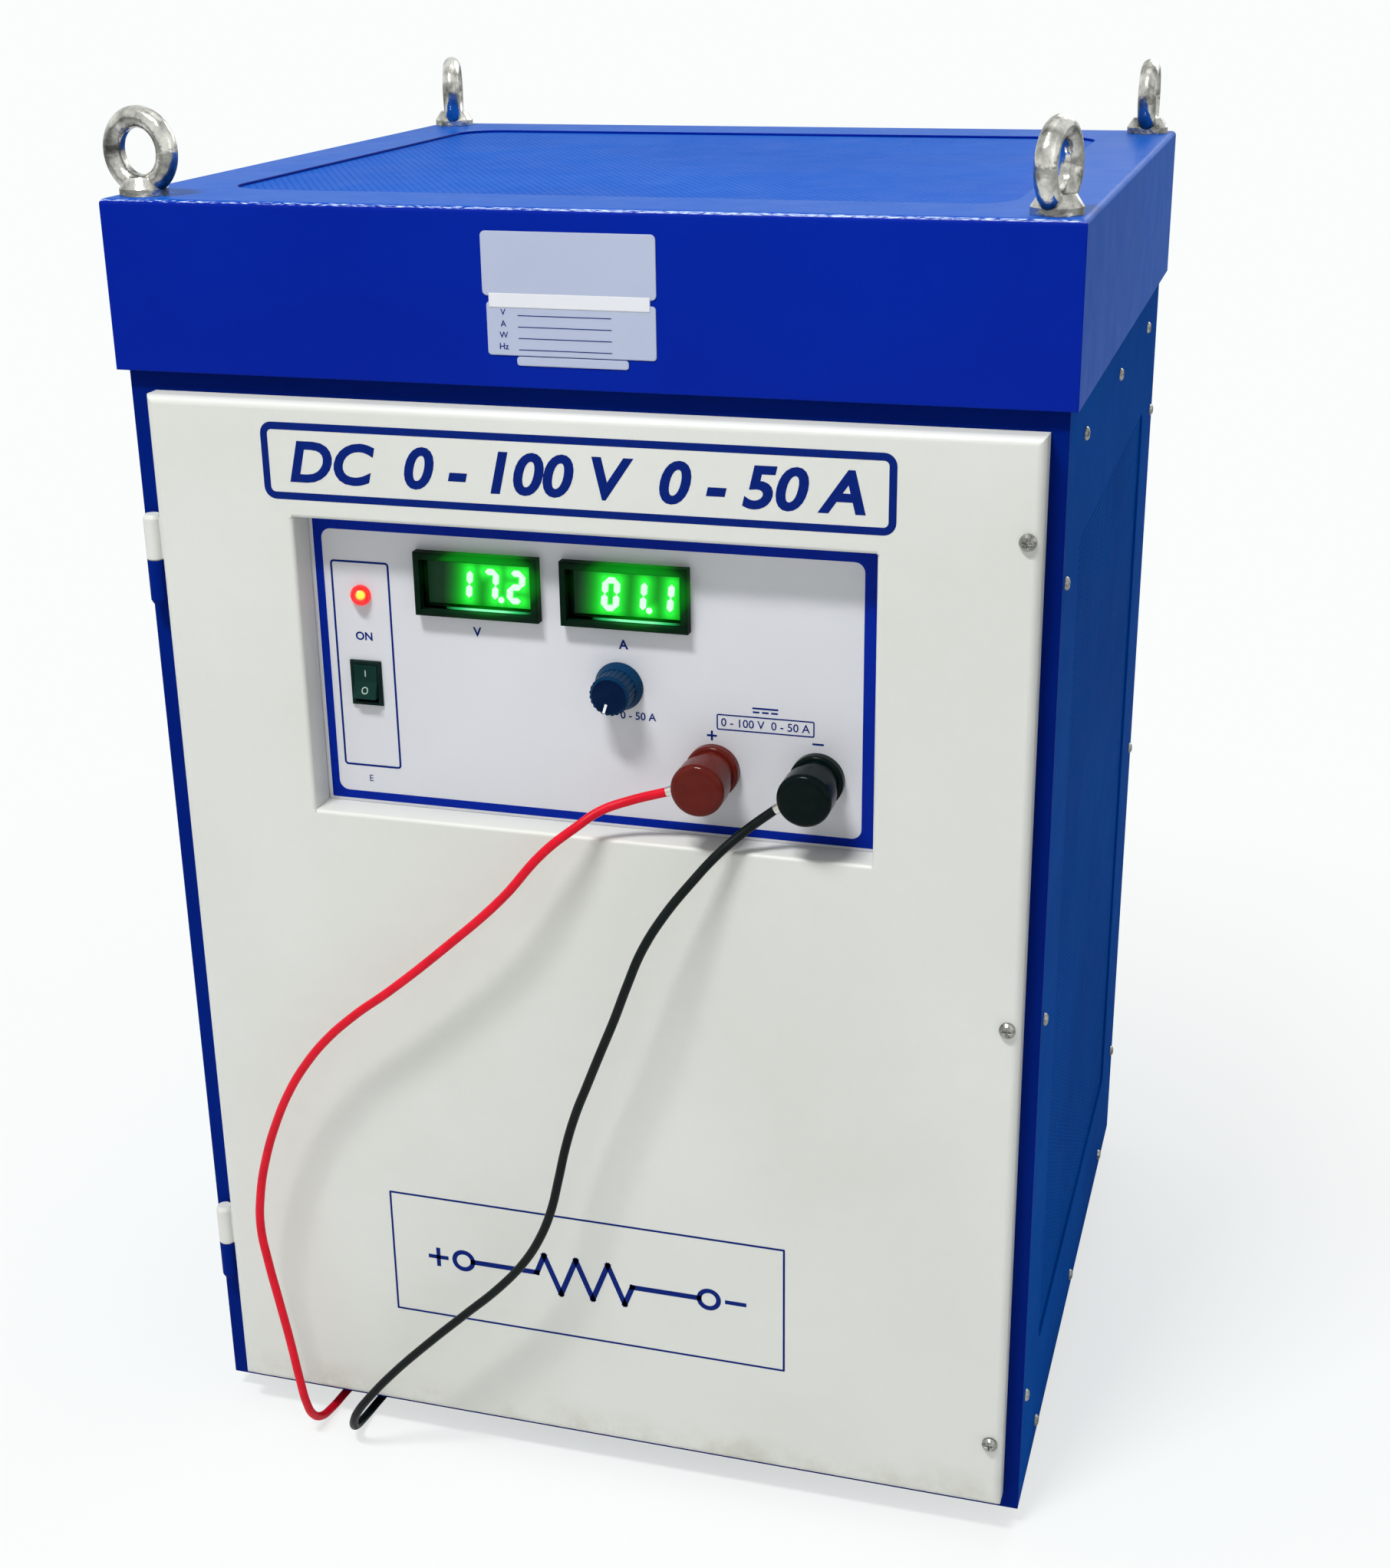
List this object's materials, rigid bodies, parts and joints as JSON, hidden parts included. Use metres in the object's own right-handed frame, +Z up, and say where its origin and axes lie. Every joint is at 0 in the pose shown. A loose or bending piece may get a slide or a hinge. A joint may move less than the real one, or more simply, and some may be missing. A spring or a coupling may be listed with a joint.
{
  "type": "dc electronic load",
  "caption": "Floor-standing DC electronic load: steel cabinet with a hinged door, recessed control panel, screw terminals with leads, a ventilated hood and lifting eyes.",
  "frame": {"origin": "on the floor under the middle of the cabinet's footprint", "axes": "+Z up, the front with door and control panel faces -Y, +X to the right seen from the front"},
  "size_m": [0.7081, 0.7875, 1.081],
  "materials": {
    "blue_paint": "semi-gloss powder coat",
    "vent_sheet": "semi-gloss powder coat, finely perforated",
    "white_paint": "semi-gloss powder coat",
    "panel_print": "satin, screen-printed",
    "zinc": "zinc-plated",
    "foot_rubber": "matt",
    "black_plastic": "fine matt",
    "meter_glass": "clear, tinted",
    "meter_digits": "glowing digits",
    "lamp_red": "translucent",
    "terminal_red": "moulded",
    "terminal_black": "moulded",
    "red_cable": "smooth insulation",
    "black_cable": "smooth insulation",
    "copper": "bare copper",
    "bare_aluminium": "mill finish",
    "circuit_board": "solder mask"
  },
  "bodies": {
    "cabinet": {"base_plate": "blue_paint", "levelling_feet": "foot_rubber", "corner_posts": "blue_paint", "frame_rails": "blue_paint", "front_surround": "blue_paint", "left_side_panel": "blue_paint", "right_side_panel": "blue_paint", "side_vent_sheets": "vent_sheet", "rear_panel": "blue_paint", "body_screws": "zinc", "hood": "blue_paint", "top_vent_sheet": "vent_sheet", "eye_bolt_front_left": "zinc", "eye_bolt_front_right": "zinc", "eye_bolt_rear_left": "zinc", "eye_bolt_rear_right": "zinc", "frame_knuckles": "blue_paint", "hinge_pins": "zinc", "panel_uprights": "zinc", "control_panel": "panel_print", "control_chassis": "bare_aluminium", "voltmeter_case": "black_plastic", "ammeter_case": "black_plastic", "meter_windows": "meter_glass", "meter_displays": "meter_digits", "lamp_bezel": "zinc", "lamp_lens": "lamp_red", "switch_housing": "black_plastic", "potentiometer": "zinc", "red_post_base": "terminal_red", "black_post_base": "terminal_black", "post_studs": "zinc", "bus_bars": "copper", "heat_sinks": "bare_aluminium", "power_modules": "black_plastic", "aux_transformer": "copper", "control_board": "circuit_board", "fan_tray": "zinc", "fan_frames": "black_plastic", "cable_gland": "black_plastic", "earth_stud": "zinc", "red_lead": "red_cable", "red_lugs": "zinc", "black_lead": "black_cable", "black_lugs": "zinc"},
    "door": {"door_panel": "white_paint", "door_knuckles": "white_paint", "door_screws": "zinc", "door_stiffener": "white_paint"},
    "rocker": {"switch_rocker": "black_plastic"},
    "knob": {"current_knob": "black_plastic", "knob_shaft": "zinc"},
    "red_clamp": {"red_washer": "zinc"},
    "red_terminal_cap": {"red_cap": "terminal_red"},
    "black_clamp": {"black_washer": "zinc"},
    "black_terminal_cap": {"black_cap": "terminal_black"},
    "left_fan": {"left_fan_rotor": "black_plastic"},
    "right_fan": {"right_fan_rotor": "black_plastic"}
  },
  "joints": [
    {"name": "door_hinge", "type": "hinge", "parent": "cabinet", "child": "door", "pos_m": [-0.3335, -0.32, 0.456], "axis": [0, 0, -1], "range_deg": [0, 110], "deforming": ["red_lead", "black_lead"]},
    {"name": "rocker_tilt", "type": "hinge", "parent": "cabinet", "child": "rocker", "pos_m": [-0.17375, -0.303, 0.6655], "axis": [1, 0, 0], "range_deg": [0, 24]},
    {"name": "knob_turn", "type": "hinge", "parent": "cabinet", "child": "knob", "pos_m": [0.0265, -0.32, 0.679], "axis": [0, 1, 0], "range_deg": [0, 300]},
    {"name": "red_clamp_slide", "type": "slide", "parent": "cabinet", "child": "red_clamp", "axis": [0, -1, 0], "range_m": [0, 0.0031]},
    {"name": "red_cap_turn", "type": "hinge", "parent": "red_clamp", "child": "red_terminal_cap", "pos_m": [0.09725, -0.342, 0.6205], "axis": [0, -1, 0], "range_deg": [0, 720]},
    {"name": "black_clamp_slide", "type": "slide", "parent": "cabinet", "child": "black_clamp", "axis": [0, -1, 0], "range_m": [0, 0.0031]},
    {"name": "black_cap_turn", "type": "hinge", "parent": "black_clamp", "child": "black_terminal_cap", "pos_m": [0.17525, -0.342, 0.6205], "axis": [0, -1, 0], "range_deg": [0, 720]},
    {"name": "left_fan_spin", "type": "hinge", "parent": "cabinet", "child": "left_fan", "pos_m": [-0.13, 0, 0.9], "axis": [0, 0, 1], "continuous": true},
    {"name": "right_fan_spin", "type": "hinge", "parent": "cabinet", "child": "right_fan", "pos_m": [0.13, 0, 0.9], "axis": [0, 0, 1], "continuous": true}
  ],
  "couplings": [
    {"joint": "red_clamp_slide", "follows": "red_cap_turn", "m_per_rad": 0.00023873},
    {"joint": "black_clamp_slide", "follows": "black_cap_turn", "m_per_rad": 0.00023873}
  ]
}
